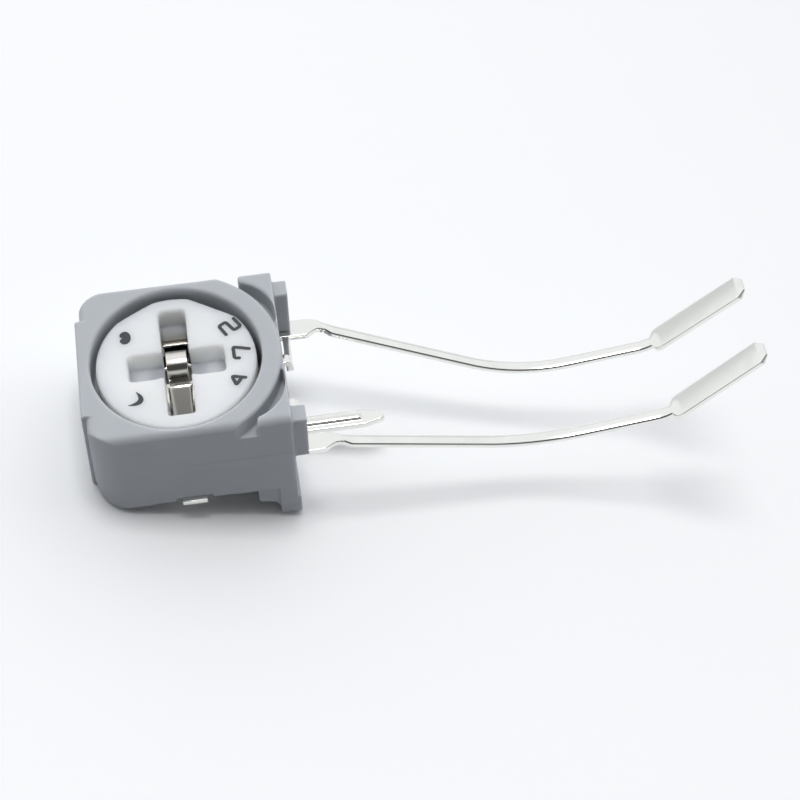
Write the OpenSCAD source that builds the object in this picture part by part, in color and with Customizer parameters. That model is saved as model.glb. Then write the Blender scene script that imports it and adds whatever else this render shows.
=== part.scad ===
// Trimmer potentiometer, 10 mm class, made to stand on edge on a circuit board.
// The origin is on the dial axis, level with the top of the dial ring. The dial looks along +Z
// and the three terminals leave along +X. All sizes are in millimetres.

/* [Housing] */
// Width of the moulding across its flat sides
body_w = 10.34; // [10:0.1:12]
// Thickness of the side walls beside the dial bore
ring_wall = 0.45; // [0.37:0.02:0.57]
// Thickness of the plain end wall behind the dial bore
end_wall = 0.38; // [0.3:0.02:1.5]
// Dial bore to the seat face that meets the board
seat_wall = 1.08; // [1:0.04:2]
// Depth of the room behind the substrate
back_room = 1.92; // [1.8:0.02:3.5]
// Draft of the end wall, in degrees: it leans out towards the back
end_draft = 2.2; // [0:0.1:3]
// Radius of the two upright corners of the end wall
corner_r = 2.05; // [0.6:0.05:2.2]
// Radius of the soft top edges
edge_r = 0.46; // [0.2:0.01:0.6]
// Radius of the small edges elsewhere
soft_r = 0.18; // [0.08:0.01:0.3]
// Width of the dial ring round the bore
ring_w = 1.1; // [0.6:0.02:1.2]
// Length of the two corner posts, from the seat face to their blunt tips
post_l = 1.88; // [1.6:0.02:2.2]
// Radius of the corner posts' hollow face
hollow_r = 2.58; // [2.4:0.02:3]
// Direction in which the groove between ring and posts is widest, from the middle plane
groove_angle = 34.6; // [32:0.1:37]
// Width of that groove at its widest
groove_w = 0.62; // [0.5:0.02:0.7]
// Depth of the groove between the ring and the corner posts
groove_depth = 1.2; // [0.5:0.05:2.2]
// Width of the raised land on the end wall
land_w = 6.5; // [3:0.1:7]
// Height of the raised land
land_t = 0.26; // [0.05:0.01:0.5]
// Depth of the mould's split line below the ring
split_depth = 3.2; // [2:0.1:5]
// How far the lower half of the mould stands proud of the upper
split_step = 0.03; // [0.01:0.01:0.06]
// Width of the ledge round the opening in the back
back_ledge = 0.72; // [0.4:0.02:1.2]
// Depth of the shallow relief across the back
relief_depth = 0.16; // [0.05:0.01:0.3]
// Length of that relief, along the terminals' direction
relief_l = 4.55; // [3:0.05:6]
// Height of the channel for the collector strap
strap_channel_h = 0.42; // [0.4:0.01:0.8]
// Room beside the strap, on each side
strap_side_room = 0.33; // [0.05:0.01:0.6]

/* [Foot and ribs] */
// How far the foot reaches past the back
foot_h = 3.2; // [2.6:0.01:4]
// Thickness of the foot
foot_t = 1.04; // [0.6:0.01:1.4]
// Height of the foot's thicker toe
toe_h = 2.3; // [0.5:0.05:2.4]
// How far the toe stands out past the seat face
toe_step = 0.16; // [0.05:0.01:0.4]
// Length of the gussets behind the foot
gusset_l = 1.2; // [1:0.05:2]
// Height of a gusset's upright edge below the back
gusset_h = 1.35; // [0.8:0.05:1.5]
// Radius of the hollow that leads a gusset down the foot
gusset_hollow_r = 0.8; // [0.4:0.05:0.9]
// Radius of a gusset's outer corner
gusset_corner_r = 0.3; // [0.1:0.05:0.4]
// Thickness of a gusset
gusset_t = 0.6; // [0.3:0.05:1]
// Setback of a gusset from the side of the housing
gusset_inset = 0.15; // [0.05:0.05:0.6]
// Length of the two standoff ribs, from the seat face to the board
rib_l = 0.8; // [0.5:0.05:1.2]
// Width of a standoff rib
rib_w = 1.08; // [0.6:0.02:1.2]
// Side of the housing to the middle of a rib
rib_inset = 0.83; // [0.8:0.01:0.95]
// Depth of a standoff rib's top end below the ring
rib_depth = 0.6; // [0.2:0.05:2]

/* [Rotor] */
// Gap between the rotor's rim and the bore
rim_gap = 0.3; // [0.15:0.01:0.4]
// Depth of the rotor's face below the ring
rotor_depth = 0.45; // [0.2:0.01:0.6]
// Thickness of the rotor's disc
rotor_t = 1.6; // [1.4:0.05:1.9]
// Angle from the nose to the far end of the rim's left flat
left_flat_end = 45; // [35:1:55]
// Angle from the nose to the far end of the rim's right flat
right_flat_end = 54; // [45:1:60]
// Radius of the rotor's upper rim edge
rotor_edge_r = 0.14; // [0.05:0.01:0.3]
// Width of the cross slot
slot_w = 1.5; // [1.35:0.05:1.8]
// From the ends of the long slot to the rim
slot_rim = 0.85; // [0.7:0.01:1.4]
// From the ends of the cross arms to the rim
cross_rim = 1.75; // [1.2:0.01:2.4]
// Extra width of the cross arms, on the side away from the nose
cross_extra = 0.25; // [0:0.05:0.4]
// Thickness of the web left under the blind part of the slot
web_t = 0.2; // [0.15:0.05:0.7]
// Length of the long slot's blind end under the nose
blind_l = 1.03; // [0.85:0.02:1.3]
// Half angle of the pointer nose
nose_half = 12; // [8:1:16]
// Half angle of the stop lug under the nose
lug_half = 8; // [5:1:12]
// Height of that lug below the disc
lug_h = 1.15; // [0.8:0.05:1.4]
// Thickness of that lug across the rim
lug_t = 0.42; // [0.3:0.02:0.45]
// Room between the rotor's disc and the substrate
wiper_room = 1.95; // [1.75:0.05:2.25]
// Thickness of the split hub's wall
hub_t = 0.55; // [0.45:0.01:0.7]
// Height of the hub's snap barbs
barb_h = 0.45; // [0.3:0.05:0.6]
// How far a barb stands out of the hub
barb_out = 0.25; // [0.15:0.01:0.3]
// Total rotation between the stops, in degrees
travel = 235; // [200:5:260]
// Play left before a stop is touched, in degrees
stop_play = 1; // [0.5:0.5:2]

/* [Wiper] */
// Thickness of the wiper's sheet
wiper_t = 0.2; // [0.15:0.01:0.25]
// Width of the curled tongue
tongue_w = 1.14; // [0.8:0.02:1.2]
// Outer radius of the curled tongue
loop_r = 0.85; // [0.7:0.01:0.9]
// Offset of the curl's centre towards the nose
loop_y = 0.4; // [0.2:0.05:0.6]
// Depth of the curl's top below the rotor's face
loop_sink = 0.15; // [0.05:0.01:0.3]
// Bend radius at the tongue's root
crease_r = 0.2; // [0.15:0.01:0.25]
// Half width of the opening that the tongue is cut from
lance_half = 0.85; // [0.8:0.01:1]
// Distance of that opening's end from the dial axis
lance_end = 2.75; // [2.6:0.01:2.8]
// Width of the rails beside the opening
rail_w = 0.5; // [0.4:0.02:0.5]
// Width of the finger that bears on the collector
bearing_w = 1.16; // [0.8:0.02:1.2]
// Where that finger bends down, from the dial axis
bearing_bend = 0.8; // [0.75:0.01:0.9]
// Slope of that finger, in degrees
bearing_slope = 28; // [10:1:30]
// How far that finger reaches past the eyelet
bearing_past = 0.7; // [0.3:0.05:0.9]
// Width of each contact arm
arm_w = 0.6; // [0.3:0.05:0.65]
// Gap between the finger and the arms
arm_gap = 0.06; // [0.04:0.01:0.1]
// Where the arms bend down, from the dial axis
arm_bend = 1.75; // [1.6:0.05:1.9]
// Bend radius of the arms' upturned tips
arm_tip_r = 0.18; // [0.15:0.01:0.2]
// Radius of the two pins that hold the wiper to the rotor
stake_r = 0.3; // [0.2:0.02:0.32]
// Distance of those pins from the middle plane
stake_x = 1.75; // [1.6:0.05:1.9]
// Distance of those pins' centres from the plate's inner edge
stake_edge = 0.4; // [0.38:0.01:0.6]
// Height of those pins' heads below the plate
stake_head = 0.2; // [0.1:0.05:0.3]

/* [Substrate] */
// Thickness of the substrate
sub_t = 0.8; // [0.6:0.05:1]
// Thickness of the side walls beside the substrate
side_wall = 0.57; // [0.47:0.02:0.87]
// How far the substrate's edge stands out of the seat face
sub_out = 0.15; // [0.05:0.01:0.3]
// Width of the resistive track
track_w = 0.8; // [0.5:0.02:0.8]
// Bare edge between the track and the hole for the hub
track_edge = 0.75; // [0.6:0.01:0.8]
// Thickness of the printed track and pads
film_t = 0.04; // [0.02:0.01:0.08]

/* [Collector and middle terminal] */
// Thickness of the drawn eyelet's wall
eyelet_t = 0.34; // [0.2:0.02:0.4]
// Width of the flange round the eyelet
flange_w = 1.3; // [0.8:0.05:1.6]
// Width of the strap across the back
strap_w = 1.4; // [1:0.05:2]
// How far the strap's ends stand out of the sides
strap_out = 0.25; // [0.1:0.05:0.5]
// Thickness of all terminal sheet
sheet_t = 0.4; // [0.3:0.05:0.4]
// Width of the middle terminal
mid_w = 1.06; // [0.8:0.02:1.3]
// Depth of the middle terminal's face behind the back
mid_drop = 1.38; // [1.1:0.02:1.9]
// Distance of the middle terminal's tip from the dial axis
mid_tip_x = 11.5; // [10.5:0.1:14]
// Length of the taper at its tip
mid_taper = 1.15; // [0.8:0.05:1.5]
// Radius of its tip
mid_tip_r = 0.3; // [0.2:0.05:0.4]
// Width of the embossed stiffening rib
emboss_w = 0.44; // [0.3:0.02:0.6]
// Height of the embossed rib
emboss_h = 0.14; // [0.05:0.01:0.2]

/* [End terminals and leads] */
// Side of the housing to the centre line of a tab
tab_inset = 1.14; // [1.11:0.01:1.37]
// Width of a tab
tab_w = 1.16; // [1:0.02:1.2]
// Length of a tab past the seat face
tab_l = 1.7; // [1.3:0.05:2.4]
// Gap between the substrate's edge and the terminal's web
web_gap = 0.12; // [0.05:0.01:0.12]
// Step of the tab's face below the resistive face
tab_drop = 0.05; // [0.05:0.01:0.2]
// Distance of the clinch fingers from the middle plane
clinch_y = 1.25; // [0.9:0.05:1.5]
// Width of a clinch finger
finger_w = 0.6; // [0.4:0.05:0.7]
// Reach of a clinch finger over the substrate
finger_l = 1.25; // [0.8:0.05:1.25]
// Gap between the upper finger and the lower one, seen from the board
finger_gap = 0.35; // [0.2:0.05:0.5]
// Width of the neck where the formed lead begins
neck_w = 0.58; // [0.4:0.02:0.7]
// Width of the formed lead
lead_w = 0.74; // [0.6:0.02:0.9]
// Thickness of the formed lead
lead_t = 0.42; // [0.38:0.01:0.5]
// Edge radius of the flat sheet
sheet_edge_r = 0.03; // [0.02:0.01:0.06]
// Edge radius of the formed lead
lead_edge_r = 0.18; // [0.1:0.01:0.18]
// Distance of the neck's bend from its corner
neck_bend = 0.22; // [0.15:0.01:0.4]
// Distance over which the long knee bends, to each side
knee_bend = 3.2; // [1.5:0.1:4]
// Distance over which the heel bends, to each side
heel_bend = 0.42; // [0.3:0.02:0.8]
// Pitch of the two leads at their far ends
far_pitch = 5.08; // [4:0.02:6]
// Length of the taper from a tab to its neck
neck_l = 0.6; // [0.5:0.05:1.1]
// Distance of the leads' knee from the dial axis
knee_x = 20.0; // [16:0.5:24]
// Depth of the knee below the ring
knee_depth = 9.33; // [7:0.05:10]
// Distance of the heel, where the paddle begins, from the dial axis
heel_x = 28.2; // [26:0.1:32]
// Depth of the heel below the ring
heel_depth = 7.85; // [6:0.05:9]
// Length of a paddle, with the shoulder where the strip widens
paddle_l = 6.7; // [5:0.1:8]
// Length of that shoulder
shoulder_l = 0.75; // [0.4:0.05:1.2]
// Width of a paddle
paddle_w = 1.5; // [1.2:0.05:1.8]
// Thickness of a paddle
paddle_t = 0.36; // [0.3:0.02:0.4]
// Slope of a paddle, in degrees
paddle_angle = 45; // [30:1:60]
// Edge radius of a paddle
paddle_edge_r = 0.08; // [0.03:0.01:0.1]
// Angle by which the paddles lean towards each other
paddle_toe_in = 1.2; // [0:0.2:3]
// Length of a paddle's tapered end
paddle_chamfer = 0.45; // [0.2:0.05:0.7]
// How much a paddle's tapered end narrows, on each side
paddle_taper = 0.33; // [0.1:0.01:0.4]

/* [Clearances] */
// Running clearance between turning pieces
run_gap = 0.05; // [0.04:0.01:0.06]
// Room round pieces that are pushed into place
fit_gap = 0.04; // [0.02:0.01:0.05]

/* [Hidden] */

$fn = 96;
over = 0.1;
big = 40;

half_w = body_w / 2;
dial_bore_r = half_w - ring_wall;
end_x = dial_bore_r + end_wall;
seat_x = dial_bore_r + seat_wall;
ring_r = dial_bore_r + ring_w;
post_tip = seat_x - post_l;
hollow_out = ring_r + groove_w - hollow_r;
back_hole_r = dial_bore_r - back_ledge;

rotor_r = dial_bore_r - rim_gap;
rotor_top = -rotor_depth;
rotor_bot = rotor_top - rotor_t;
slot_long = rotor_r - slot_rim;
slot_cross = rotor_r - cross_rim;
slot_depth = rotor_t - web_t;
window_y = slot_long - blind_l;
lug_in = rotor_r - lug_t;
lug_bot = rotor_bot - lug_h;
stop_top = rotor_bot - 2 * run_gap;
stop_from = travel / 2 + lug_half + stop_play;

under_r = lug_in - 2 * run_gap;
track_out = under_r;
track_in = track_out - track_w;
contact_r = (track_in + track_out) / 2;
sub_hole_r = track_in - track_edge;
hub_r = sub_hole_r - run_gap;
hub_bore_r = hub_r - hub_t;
eyelet_r = hub_bore_r - run_gap;
flange_r = eyelet_r + flange_w;

plate_bot = rotor_bot - wiper_t;
rail_out = lance_half + rail_w;
arm_in = bearing_w / 2 + arm_gap;
hub_split = rail_out + run_gap;
stake_y = sub_hole_r + stake_edge;
barb_r = hub_r + barb_out;

sub_top = rotor_bot - wiper_room;
sub_bot = sub_top - sub_t;
sub_half_y = half_w - side_wall - fit_gap;
sub_end = -(end_x - side_wall - fit_gap);
sub_edge = seat_x + sub_out;
film_top = sub_top + film_t;
barb_top = sub_bot - run_gap;
track_from = 50;

wall_bot = sub_bot - back_room;
body_h = -wall_bot;
end_lean = body_h * tan(end_draft);
foot_bot = wall_bot - foot_h;
foot_in = seat_x - foot_t;
toe_top = foot_bot + toe_h;

loop_z = rotor_top - loop_sink - loop_r;
finger_drop = (eyelet_r - eyelet_t / 2 - bearing_bend) * tan(bearing_slope);
finger_bot = plate_bot - finger_drop - wiper_t * (1 / cos(bearing_slope) - 1);
eyelet_top = finger_bot - run_gap;
strap_top = wall_bot + strap_channel_h;
strap_end = half_w + strap_out;
strap_z = strap_top - sheet_t / 2;
mid_top = wall_bot - mid_drop;
mid_z = mid_top - sheet_t / 2;

tab_y = half_w - tab_inset;
rib_y = half_w - rib_inset;
tab_top = sub_top - tab_drop;
tab_z = tab_top - sheet_t / 2;
tab_end = seat_x + tab_l;
neck_x = tab_end + neck_l;
web_in = sub_edge + web_gap;
web_out = web_in + sheet_t;
finger_in = sub_edge - finger_l;
lower_finger_y = clinch_y + finger_w + finger_gap;

function unit(v) = v / norm(v);
function arc(c, r, a, b, n) = [
    for (i = [0:n]) let (turn = a + (b - a) * i / n) c + r * [cos(turn), sin(turn)]
];
function normal(a, b) = let (d = unit(b - a)) [-d[1], d[0]];

// Normal of a bent strip at point i: the mean of its two legs' normals, lengthened into a mitre
function mitre(p, i) =
    let (
        last = len(p) - 1,
        m = normal(p[max(i - 1, 0)], p[max(i, 1)]),
        n = normal(p[min(i, last - 1)], p[min(i + 1, last)])
    )
    (m + n) / (1 + m * n);

// Outline of a strip of thickness t whose middle line runs through the points p
function strip_outline(p, t) = concat(
    [for (i = [0:len(p) - 1]) p[i] + mitre(p, i) * t / 2],
    [for (i = [len(p) - 1:-1:0]) p[i] - mitre(p, i) * t / 2]
);

module bent_strip(p, t) {
    polygon(strip_outline(p, t));
}

// Rectangle with four round corners, all of true arcs
module soft_rectangle(x0, x1, y0, y1, r) {
    translate([x0 + r, y0]) square([x1 - x0 - 2 * r, y1 - y0]);
    translate([x0, y0 + r]) square([x1 - x0, y1 - y0 - 2 * r]);
    for (x = [x0 + r, x1 - r], y = [y0 + r, y1 - r]) {
        translate([x, y]) circle(r);
    }
}

// Draws its 2D child in the XZ plane and gives it a length along Y, centred
module along_y(l) {
    rotate([90, 0, 0]) linear_extrude(l, center = true) children();
}

// Draws its 2D child in the YZ plane and gives it a length along X from x0
module along_x(x0, l) {
    translate([x0, 0, 0]) rotate([90, 0, 90]) linear_extrude(l) children();
}

module block(x0, x1, y0, y1, z0, z1) {
    translate([x0, y0, z0]) cube([x1 - x0, y1 - y0, z1 - z0]);
}

module both_sides() {
    children();
    mirror([0, 1, 0]) children();
}

// Side view of a wall that leans out to end + end_lean at the back, with both its edges rounded
module leaning_wall(end, r) {
    high = [r - end, -r];
    low = [r - end - end_lean, wall_bot + r];
    out = normal(high, low) * -r;
    polygon([[0, 0], [high[0], 0], high + out, low + out, [low[0], wall_bot], [0, wall_bot]]);
    translate(high) circle(r);
    translate(low) circle(r);
}

// The main block: three outlines, seen from above, from the side and from the seat, meet in it.
// Its top edge is soft on the side that lay in the lower half of the mould, and crisp on the other.
module housing_block() {
    intersection() {
        translate([0, 0, wall_bot]) linear_extrude(body_h) union() {
            soft_rectangle(-end_x - end_lean, 0, -half_w, half_w, corner_r);
            soft_rectangle(-end_x / 2, seat_x, -half_w, half_w, soft_r);
        }
        along_y(body_w + over) union() {
            leaning_wall(end_x, edge_r);
            translate([-end_x / 2, wall_bot]) square([seat_x + end_x / 2, body_h]);
        }
        along_x(-end_x - end_lean, end_x + end_lean + seat_x) union() {
            soft_rectangle(-half_w + split_step, 0, wall_bot, 0, edge_r);
            soft_rectangle(-half_w / 2, half_w - split_step, wall_bot, 0, soft_r);
            soft_rectangle(-half_w, half_w, wall_bot, -split_depth, soft_r);
        }
    }
}

// The raised land grows out of the end wall, level with the ring's top
module end_land() {
    intersection() {
        along_y(land_w) leaning_wall(end_x + land_t, soft_r);
        translate([0, 0, wall_bot]) linear_extrude(body_h) soft_rectangle(
            -end_x - land_t - end_lean, 0, -land_w / 2, land_w / 2, soft_r
        );
    }
}

// A gusset's side: an upright edge, a round corner and a hollow that runs out along the foot
module gusset_outline() {
    low = wall_bot - gusset_h;
    soft_rectangle(foot_in - gusset_l, foot_in + foot_t, low, wall_bot + side_wall, gusset_corner_r);
    difference() {
        translate([foot_in - gusset_hollow_r, low - gusset_hollow_r]) {
            square([gusset_hollow_r + over, gusset_hollow_r + over]);
        }
        translate([foot_in - gusset_hollow_r, low - gusset_hollow_r]) circle(gusset_hollow_r);
    }
}

// The foot stands behind the seat face and ends in a thicker toe
module foot() {
    intersection() {
        along_y(body_w) union() {
            translate([foot_in, foot_bot + soft_r]) square([foot_t, foot_h + side_wall]);
            soft_rectangle(foot_in, seat_x + toe_step, foot_bot, toe_top, soft_r);
        }
        along_x(0, big) soft_rectangle(-half_w, half_w, foot_bot, 0, corner_r / 2);
    }
    both_sides() translate([0, half_w - gusset_inset - gusset_t / 2, 0]) along_y(gusset_t) {
        gusset_outline();
    }
}

module standoff_ribs() {
    both_sides() along_x(seat_x - over, rib_l + over) soft_rectangle(
        rib_y - rib_w / 2, rib_y + rib_w / 2, tab_top, -rib_depth, soft_r / 2
    );
}

// Bore for the dial, with a rounded lip where it meets the ring's top
module dial_bore() {
    rotate_extrude() {
        translate([0, sub_top]) square([dial_bore_r, over - sub_top]);
        difference() {
            translate([0, -soft_r]) square([dial_bore_r + soft_r, soft_r + over]);
            translate([dial_bore_r + soft_r, -soft_r]) circle(soft_r);
        }
    }
}

// Groove that sets the round ring apart from the two corner posts
module post_groove() {
    translate([0, 0, -groove_depth]) linear_extrude(groove_depth + over) difference() {
        union() {
            translate([0, -big / 2]) square([post_tip, big]);
            both_sides() rotate([0, 0, groove_angle]) translate([hollow_out, 0]) circle(hollow_r);
        }
        circle(ring_r);
    }
    intersection() {
        rotate_extrude() difference() {
            translate([ring_r - soft_r, -soft_r]) square([soft_r + over, soft_r + over]);
            translate([ring_r - soft_r, -soft_r]) circle(soft_r);
        }
        block(half_w / 2, big, -big, big, -soft_r, over);
    }
}

// Slot that the substrate slides into from the seat face, with room for the clinched terminals
module substrate_slot() {
    block(sub_end - fit_gap, big, -sub_half_y - fit_gap, sub_half_y + fit_gap, sub_bot, sub_top);
    both_sides() {
        block(
            finger_in - fit_gap, big, clinch_y - fit_gap, clinch_y + finger_w + fit_gap,
            sub_top - over, film_top + sheet_t + fit_gap
        );
        block(
            track_out, big, clinch_y - fit_gap, clinch_y + finger_w + fit_gap,
            sub_top - over, film_top + fit_gap
        );
        block(
            finger_in - fit_gap, big, lower_finger_y - fit_gap, lower_finger_y + finger_w + fit_gap,
            sub_bot - sheet_t - fit_gap, sub_bot + over
        );
    }
}

module strap_channel() {
    half = strap_w / 2 + strap_side_room;
    block(-half, half, -big, big, wall_bot - over, strap_top);
    block(-relief_l / 2, relief_l / 2, -big, big, wall_bot - over, wall_bot + relief_depth);
}

module foot_slot() {
    half = mid_w / 2 + fit_gap;
    block(foot_in - over, big, -half, half, mid_top - sheet_t - fit_gap, mid_top + emboss_h + fit_gap);
}

// Two stop faces are the ends of this raised sector in the floor of the dial bore
module stop_sector() {
    rotate([0, 0, stop_from]) rotate_extrude(angle = 360 - 2 * stop_from) {
        translate([lug_in, sub_top]) square([dial_bore_r + over - lug_in, stop_top - sub_top]);
    }
}

module housing() {
    color("#A0A6AE") {
        difference() {
            union() {
                housing_block();
                end_land();
                foot();
                standoff_ribs();
            }
            dial_bore();
            post_groove();
            substrate_slot();
            translate([0, 0, wall_bot - over]) cylinder(sub_bot - wall_bot + 2 * over, r = back_hole_r);
            strap_channel();
            foot_slot();
        }
        stop_sector();
    }
}

// Takes a flat off the rotor's rim between two angles
module rim_flat(a, b) {
    p = rotor_r * [cos(a), sin(a)];
    q = rotor_r * [cos(b), sin(b)];
    translate([p[0], p[1], rotor_bot - over]) rotate([0, 0, atan2(q[1] - p[1], q[0] - p[0])]) {
        translate([-rotor_r, -rotor_r, 0]) cube([3 * rotor_r, rotor_r, rotor_t + 2 * over]);
    }
}

module rotor_disc() {
    difference() {
        rotate_extrude() {
            translate([0, rotor_bot]) square([rotor_r, rotor_t - rotor_edge_r]);
            translate([0, rotor_bot]) square([rotor_r - rotor_edge_r, rotor_t]);
            translate([rotor_r - rotor_edge_r, rotor_top - rotor_edge_r]) circle(rotor_edge_r);
        }
        rim_flat(90 + nose_half, 90 + left_flat_end);
        rim_flat(90 - right_flat_end, 90 - nose_half);
    }
}

// Split hub: it snaps through the substrate and turns on the collector's eyelet
module hub() {
    difference() {
        rotate_extrude() {
            translate([hub_bore_r, barb_top - barb_h]) {
                square([hub_r - hub_bore_r, rotor_bot + over - barb_top + barb_h]);
            }
            polygon([
                [hub_bore_r, barb_top],
                [barb_r, barb_top],
                [barb_r, barb_top - barb_h / 3],
                [hub_r, barb_top - barb_h],
                [hub_bore_r, barb_top - barb_h]
            ]);
        }
        block(-hub_split, hub_split, -big, big, -big, rotor_bot);
    }
}

module rotor() {
    color("#E6E8EA") {
        difference() {
            rotor_disc();
            translate([0, 0, rotor_top - slot_depth]) linear_extrude(slot_depth + over) union() {
                soft_rectangle(-slot_w / 2, slot_w / 2, -slot_long, slot_long, soft_r);
                soft_rectangle(
                    -slot_cross, slot_cross, -slot_w / 2 - cross_extra, slot_w / 2, soft_r
                );
            }
            translate([0, 0, rotor_bot - over]) linear_extrude(rotor_t + 2 * over) soft_rectangle(
                -slot_w / 2, slot_w / 2, -slot_long, window_y, soft_r
            );
        }
        hub();
        rotate([0, 0, 90 - lug_half]) rotate_extrude(angle = 2 * lug_half) {
            translate([lug_in, lug_bot]) square([rotor_r - lug_in, lug_h + over]);
        }
        for (x = [-stake_x, stake_x]) {
            translate([x, stake_y, plate_bot - stake_head]) {
                cylinder(stake_head + wiper_t + over, r = stake_r);
            }
        }
    }
}

// Outline of the wiper's plate: rails round an opening, and a head for the pins
module wiper_plate() {
    difference() {
        union() {
            translate([-rail_out, -arm_bend]) square([2 * rail_out, arm_bend + stake_y]);
            intersection() {
                translate([-big, sub_hole_r]) square([2 * big, big]);
                circle(under_r);
                square([2 * (stake_x + 2 * stake_r), big], center = true);
            }
        }
        translate([-lance_half, loop_y - loop_r]) square([2 * lance_half, lance_end - loop_y + loop_r]);
        translate([-arm_in, -big - bearing_bend]) square([2 * arm_in, big]);
        for (x = [-stake_x, stake_x]) {
            translate([x, stake_y]) circle(stake_r);
        }
    }
}

// One stamping: the plate, a tongue cut out of it and curled up into the slot, a finger that
// slopes down to the collector's eyelet and two arms that reach down to the track
module wiper() {
    bearing_end = eyelet_r + bearing_past;
    mid = plate_bot + wiper_t / 2;
    loop_mid = loop_r - wiper_t / 2;
    root = [loop_y - loop_mid - crease_r, mid + crease_r];
    tip = [-contact_r, film_top + run_gap + wiper_t / 2 + arm_tip_r];
    color("#D8D6D0") {
        translate([0, 0, plate_bot]) linear_extrude(wiper_t) wiper_plate();
        along_x(-tongue_w / 2, tongue_w) bent_strip(
            concat(
                [root - [wiper_t, crease_r]],
                arc(root, crease_r, -90, 0, 5),
                arc([loop_y, loop_z], loop_mid, 180, -60, 28)
            ), wiper_t
        );
        along_x(-bearing_w / 2, bearing_w) bent_strip([
            [wiper_t / 2 - bearing_bend, mid],
            [-bearing_bend, mid],
            [-bearing_end, mid - (bearing_end - bearing_bend) * tan(bearing_slope)]
        ], wiper_t);
        for (x = [-arm_in - arm_w, arm_in]) {
            along_x(x, arm_w) bent_strip(
                concat([[wiper_t - arm_bend, mid], [-arm_bend, mid]], arc(tip, arm_tip_r, -40, -145, 6)),
                wiper_t
            );
        }
    }
}

// The board that carries the track; its two front corners are cut back for the terminals' tabs
module substrate() {
    notch_y = tab_y - tab_w / 2 - fit_gap;
    color("#8C8378") translate([0, 0, sub_bot]) linear_extrude(sub_t) difference() {
        soft_rectangle(sub_end, sub_edge, -sub_half_y, sub_half_y, soft_r);
        circle(sub_hole_r);
        both_sides() translate([seat_x - fit_gap, notch_y]) square([sub_out + 2 * fit_gap, half_w]);
    }
}

module ring_sector(from, to) {
    rotate([0, 0, from]) rotate_extrude(angle = to - from) {
        translate([track_in, sub_top]) square([track_out - track_in, film_t]);
    }
}

module resistive_track() {
    color("#3A3A3C") ring_sector(track_from, 360 - track_from);
}

module track_end_pads() {
    pad_from = asin(clinch_y / track_out);
    color("#C9C9C6") both_sides() {
        ring_sector(pad_from, track_from);
        translate([0, 0, sub_top]) linear_extrude(film_t) difference() {
            translate([track_in, clinch_y]) square([sub_edge - soft_r - track_in, finger_w]);
            circle(track_in + film_t / 2);
        }
    }
}

module middle_terminal() {
    intersection() {
        along_y(mid_w) bent_strip([
            [eyelet_r, strap_z],
            [flange_r, strap_z],
            [foot_in - sheet_t, mid_z],
            [mid_tip_x, mid_z]
        ], sheet_t);
        translate([0, 0, foot_bot]) linear_extrude(foot_h + body_h) union() {
            translate([0, -mid_w / 2]) square([mid_tip_x - mid_taper, mid_w]);
            polygon([
                [mid_tip_x - mid_taper, -mid_w / 2],
                [mid_tip_x - mid_tip_r, -mid_tip_r],
                [mid_tip_x - mid_tip_r, mid_tip_r],
                [mid_tip_x - mid_taper, mid_w / 2]
            ]);
            translate([mid_tip_x - mid_tip_r, 0]) circle(mid_tip_r);
        }
    }
    // The embossed rib is a low round ridge that ends in a dome
    rib_r = (emboss_w * emboss_w / 4 + emboss_h * emboss_h) / (2 * emboss_h);
    rib_stop = mid_tip_x - mid_taper - emboss_w / 2;
    intersection() {
        translate([0, 0, mid_top + emboss_h - rib_r]) union() {
            translate([foot_in, 0, 0]) rotate([0, 90, 0]) cylinder(rib_stop - foot_in, r = rib_r);
            translate([rib_stop, 0, 0]) sphere(rib_r);
        }
        block(0, big, -mid_w / 2, mid_w / 2, mid_z, mid_top + emboss_h);
    }
}

// Strap, drawn eyelet and middle terminal are one stamping; the rotor turns on the eyelet
module collector_plate() {
    rim = eyelet_t / 2;
    color("#D4D4D0") difference() {
        union() {
            translate([0, 0, strap_top - sheet_t]) cylinder(sheet_t, r = flange_r);
            block(-strap_w / 2, strap_w / 2, -strap_end, strap_end, strap_top - sheet_t, strap_top);
            middle_terminal();
            rotate_extrude() {
                translate([0, strap_top - over]) square([eyelet_r, eyelet_top - rim - strap_top + over]);
                translate([eyelet_r - rim, eyelet_top - rim]) circle(rim);
            }
        }
        translate([0, 0, strap_top - sheet_t - over]) {
            cylinder(eyelet_top - strap_top + sheet_t + 2 * over, r = eyelet_r - eyelet_t);
        }
    }
}

// Points round a section [width, thickness, edge radius], in its own plane
function section_points(s, n = 3) = [
    for (c = [[1, 1, 0], [-1, 1, 90], [-1, -1, 180], [1, -1, 270]], i = [0:n])
        let (turn = c[2] + 90 * i / n)
        [c[0] * (s[0] / 2 - s[2]) + s[2] * cos(turn), c[1] * (s[1] / 2 - s[2]) + s[2] * sin(turn)]
];

// Places a section at a station [place, direction, section]
function placed(station) =
    let (
        side = unit(cross([0, 0, 1], station[1])),
        up = cross(station[1], side)
    )
    [for (q = section_points(station[2])) station[0] + q[0] * side + q[1] * up];

// Stations round a bend at v between a and b: a parabola that starts and ends d from the corner,
// while the section changes from one to the other
function bend(a, v, b, d, n, from, to) =
    let (
        p = v + unit(a - v) * d,
        q = v + unit(b - v) * d
    )
    [
        for (i = [0:n])
            let (t = i / n)
            [
                (1 - t) * (1 - t) * p + 2 * t * (1 - t) * v + t * t * q,
                unit((1 - t) * (v - p) + t * (q - v)),
                from + (to - from) * t
            ]
    ];

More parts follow.
